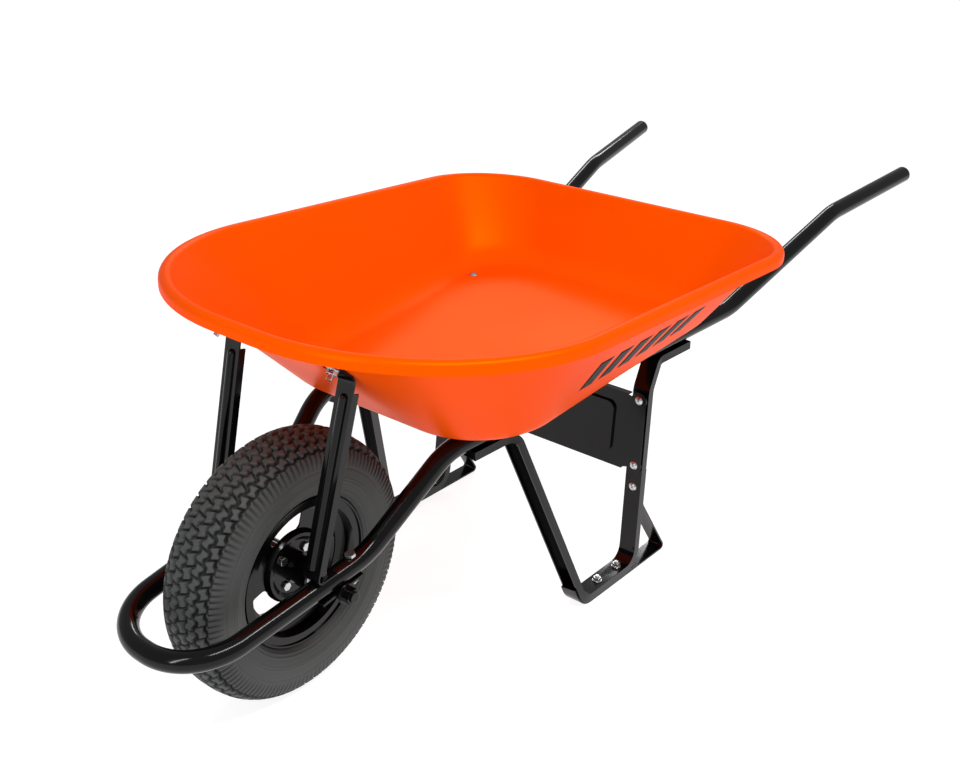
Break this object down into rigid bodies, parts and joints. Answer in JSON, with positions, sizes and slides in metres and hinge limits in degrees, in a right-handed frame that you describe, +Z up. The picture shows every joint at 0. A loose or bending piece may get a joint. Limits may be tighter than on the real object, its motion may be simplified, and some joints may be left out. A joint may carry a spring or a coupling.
{
  "type": "wheelbarrow",
  "caption": "Wheelbarrow: deep pressed steel tray on a bent tube frame with a nose loop, channel legs with skids, a cross plate and a pneumatic wheel.",
  "frame": {"origin": "on the ground, under the middle of the whole barrow's length and width", "axes": "+X forward to the wheel, +Y to the pusher's left, +Z up; the wheel turns about +Y"},
  "size_m": [1.6698, 0.7032, 0.5892],
  "materials": {
    "tray_paint": "glossy orange powder coat",
    "black_paint": "glossy black powder coat",
    "zinc_steel": "bright zinc plating",
    "tyre_rubber": "matt moulded rubber",
    "tube_rubber": "smooth rubber",
    "black_plastic": "semi-matt plastic"
  },
  "bodies": {
    "barrow": {"tray": "tray_paint", "frame_tube": "black_paint", "handle_cap_left": "black_plastic", "handle_cap_right": "black_plastic", "front_brace_left": "black_paint", "front_brace_right": "black_paint", "brace_bolts": "zinc_steel", "brace_nuts": "zinc_steel", "leg_left": "black_paint", "leg_right": "black_paint", "skid_left": "black_paint", "skid_right": "black_paint", "skid_bolts": "zinc_steel", "skid_nuts": "zinc_steel", "cross_plate": "black_paint", "plate_bolts": "zinc_steel", "plate_nuts": "zinc_steel", "tray_bolts": "zinc_steel", "tray_nuts": "zinc_steel", "axle_bracket_left": "black_paint", "axle_bracket_right": "black_paint", "bracket_bolts": "zinc_steel", "bracket_nuts": "zinc_steel", "axle": "black_paint", "axle_nuts": "black_paint", "axle_washers": "black_paint", "axle_spacers": "zinc_steel", "bearing_inner_rings": "zinc_steel"},
    "wheel": {"hub_tube": "black_paint", "bearing_outer_rings": "zinc_steel", "rim": "black_paint", "rim_bolts": "zinc_steel", "rim_nuts": "zinc_steel", "tyre": "tyre_rubber", "inner_tube": "tube_rubber", "valve_stem": "tube_rubber", "valve_cap": "black_plastic"}
  },
  "joints": [
    {"name": "wheel_spin", "type": "hinge", "parent": "barrow", "child": "wheel", "pos_m": [0.56779, 0, 0.2], "axis": [0, 1, 0], "continuous": true}
  ]
}
